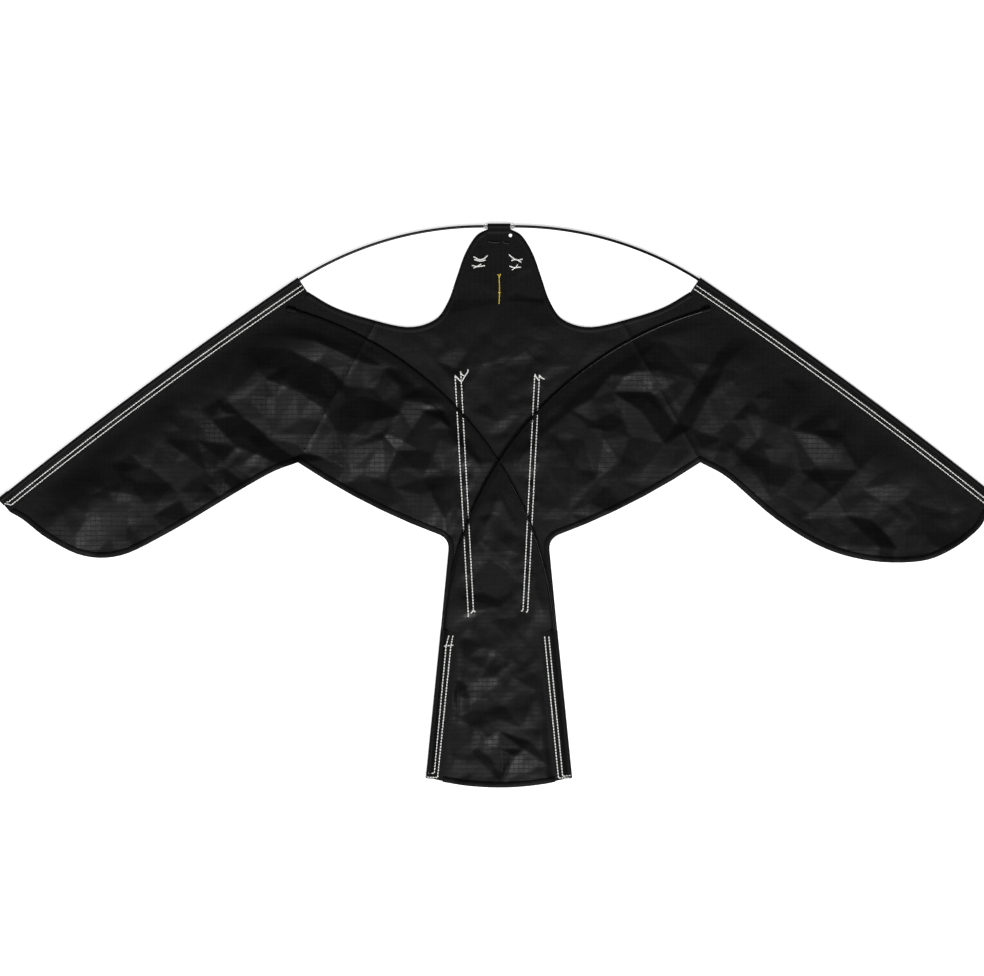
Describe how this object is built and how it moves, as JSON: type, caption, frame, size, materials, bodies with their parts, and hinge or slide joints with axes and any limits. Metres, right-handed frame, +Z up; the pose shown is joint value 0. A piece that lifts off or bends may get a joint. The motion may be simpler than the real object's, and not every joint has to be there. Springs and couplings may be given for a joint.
{
  "type": "bird scarer kite",
  "caption": "Hawk-shaped cloth kite with bound edges, spar sleeves, a bowed leading spar joined by a tube at the nose and crossed spars on the back; scares birds off crops.",
  "frame": {"origin": "under the middle of the outline, on the surface that the kite lies on", "axes": "+X to the right wing seen from the spar side, +Y to the nose, +Z up from the cloth to the spars"},
  "size_m": [1.052, 0.592, 0.008],
  "materials": {
    "ripstop": "satin",
    "tape": "matte",
    "fibreglass": "gloss",
    "clear_tube": "gloss",
    "rubber": "matte"
  },
  "bodies": {
    "body": {"sail_centre": "ripstop", "shoulder_binding_left": "tape", "shoulder_binding_right": "tape", "body_binding_left": "tape", "body_binding_right": "tape", "nose_loop": "tape", "nose_tube": "clear_tube", "leading_spar_left": "fibreglass", "leading_spar_right": "fibreglass", "cross_spar_left": "fibreglass", "cross_spar_right": "fibreglass", "stay_tape_left": "tape", "stay_tape_right": "tape"},
    "left_wing": {"sail_wing_left": "ripstop", "wing_front_binding_left": "tape", "wing_rear_binding_left": "tape", "wing_sleeve_left": "tape", "tip_flap_left": "tape", "tip_cap_left": "rubber", "spar_pocket_left": "tape", "pocket_cap_left": "rubber"},
    "right_wing": {"sail_wing_right": "ripstop", "wing_front_binding_right": "tape", "wing_rear_binding_right": "tape", "wing_sleeve_right": "tape", "tip_flap_right": "tape", "tip_cap_right": "rubber", "spar_pocket_right": "tape", "pocket_cap_right": "rubber"},
    "tail": {"sail_tail": "ripstop", "tail_hem": "tape", "tail_sleeve_left": "tape", "tail_sleeve_right": "tape", "tail_cap_left": "rubber", "tail_cap_right": "rubber"}
  },
  "joints": [
    {"name": "left_wing_flap", "type": "hinge", "parent": "body", "child": "left_wing", "pos_m": [-0.211, 0.0452, 0.00075], "axis": [0.4879, 0.8729, 0], "range_deg": [-30, 30], "stiffness_Nm_per_rad": 1.2, "deforming": ["leading_spar_left", "cross_spar_left"]},
    {"name": "right_wing_flap", "type": "hinge", "parent": "body", "child": "right_wing", "pos_m": [0.211, 0.0452, 0.00075], "axis": [0.4879, -0.8729, 0], "range_deg": [-30, 30], "stiffness_Nm_per_rad": 1.2, "deforming": ["leading_spar_right", "cross_spar_right"]},
    {"name": "tail_flap", "type": "hinge", "parent": "body", "child": "tail", "pos_m": [0, -0.131, 0.00075], "axis": [-1, 0, 0], "range_deg": [-20, 20], "stiffness_Nm_per_rad": 1.2, "deforming": ["cross_spar_left", "cross_spar_right"]}
  ]
}
